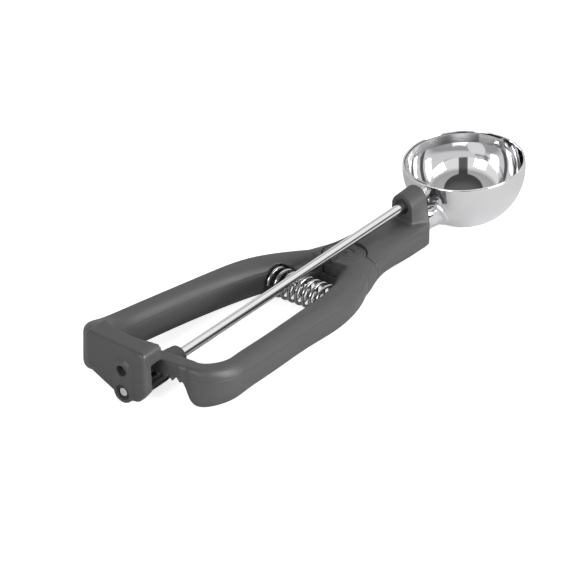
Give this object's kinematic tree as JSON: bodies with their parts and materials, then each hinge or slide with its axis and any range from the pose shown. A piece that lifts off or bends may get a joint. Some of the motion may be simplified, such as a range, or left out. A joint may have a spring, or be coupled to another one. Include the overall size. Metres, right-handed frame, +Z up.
{
  "type": "ice cream scoop",
  "caption": "Lever ice cream scoop: a steel bowl with a swinging scraper, turned through a rod and pinion by a spring-loaded squeeze handle.",
  "frame": {"origin": "under the middle of the scoop, on the surface that it rests on", "axes": "+X from the rear housing to the bowl, +Y to the fixed arm, +Z up"},
  "size_m": [0.2364, 0.0681, 0.0295],
  "materials": {
    "polished_steel": "polished",
    "brushed_steel": "fine brushed",
    "spring_steel": "drawn wire",
    "grey_plastic": "fine matte",
    "dark_plastic": "fine matte",
    "black_plastic": "satin"
  },
  "bodies": {
    "frame": {"handle_frame": "grey_plastic", "bowl": "polished_steel", "neck_tube": "polished_steel", "hinge_pin": "black_plastic", "front_bush": "black_plastic", "rear_bush": "black_plastic", "scraper_rivet": "polished_steel", "return_spring": "spring_steel"},
    "lever": {"lever_handle": "grey_plastic"},
    "spinner": {"drive_rod": "polished_steel", "pinion": "dark_plastic", "scraper": "brushed_steel"}
  },
  "joints": [
    {"name": "lever_hinge", "type": "hinge", "parent": "frame", "child": "lever", "pos_m": [0.01702, 0, 0.01], "axis": [0, 0, -1], "range_deg": [0, 6.1], "stiffness_Nm_per_rad": 4, "springref_deg": -5.16, "deforming": ["return_spring"]},
    {"name": "scraper_swing", "type": "hinge", "parent": "frame", "child": "spinner", "pos_m": [0.09302, 0, 0.0248], "axis": [-0.9955, 0, -0.095], "range_deg": [0, 150.47]}
  ],
  "couplings": [
    {"joint": "scraper_swing", "follows": "lever_hinge", "ratio": 24.667}
  ]
}
